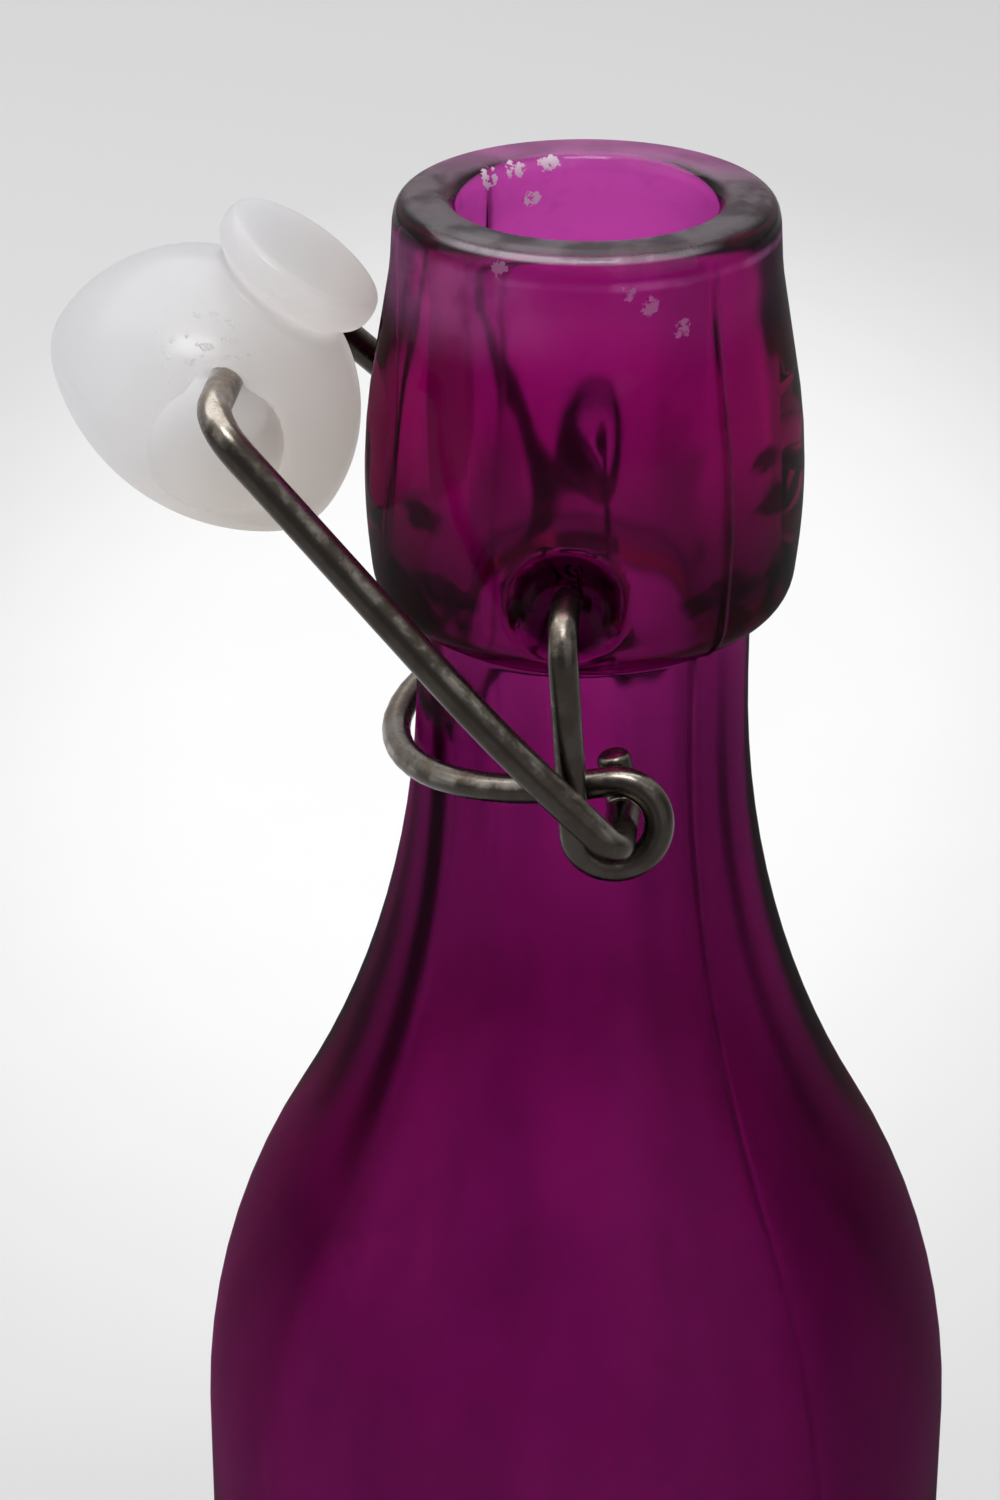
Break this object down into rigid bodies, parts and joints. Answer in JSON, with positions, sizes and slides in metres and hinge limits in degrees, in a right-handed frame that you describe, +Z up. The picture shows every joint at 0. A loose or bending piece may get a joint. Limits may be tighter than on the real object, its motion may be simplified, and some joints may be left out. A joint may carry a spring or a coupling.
{
  "type": "swing top bottle",
  "caption": "Round glass bottle with a collared neck, closed by a plastic stopper on a wire bail that a wire lever with a thumb loop pulls down over the mouth.",
  "frame": {"origin": "middle of the base, in the plane of the ring the bottle stands on", "axes": "+Z up along the bottle's axis and out of its mouth, Y along the pins of the lever, -X towards the thumb loop and the open stopper"},
  "size_m": [0.0704, 0.061, 0.188],
  "materials": {
    "tinted_glass": "gloss, deep magenta tint",
    "steel_wire": "dull drawn wire",
    "white_plastic": "pearly gloss"
  },
  "bodies": {
    "bottle": {"glass_bottle": "tinted_glass"},
    "lever": {"lever_wire": "steel_wire"},
    "bail": {"bail_wire": "steel_wire"},
    "stopper": {"stopper": "white_plastic"}
  },
  "joints": [
    {"name": "lever_lift", "type": "hinge", "parent": "bottle", "child": "lever", "pos_m": [0, 0, 0.1618], "axis": [0, 1, 0], "range_deg": [0, 85]},
    {"name": "bail_swing", "type": "hinge", "parent": "lever", "child": "bail", "pos_m": [0.00435, 0, 0.14565], "axis": [0, 1, 0], "range_deg": [-171, 0]},
    {"name": "stopper_turn", "type": "hinge", "parent": "bail", "child": "stopper", "pos_m": [-0.02566, 0, 0.17533], "axis": [0, 1, 0], "range_deg": [0, 51]}
  ],
  "couplings": [
    {"joint": "bail_swing", "follows": "lever_lift", "ratio": -2},
    {"joint": "stopper_turn", "follows": "lever_lift", "ratio": 0.59}
  ]
}
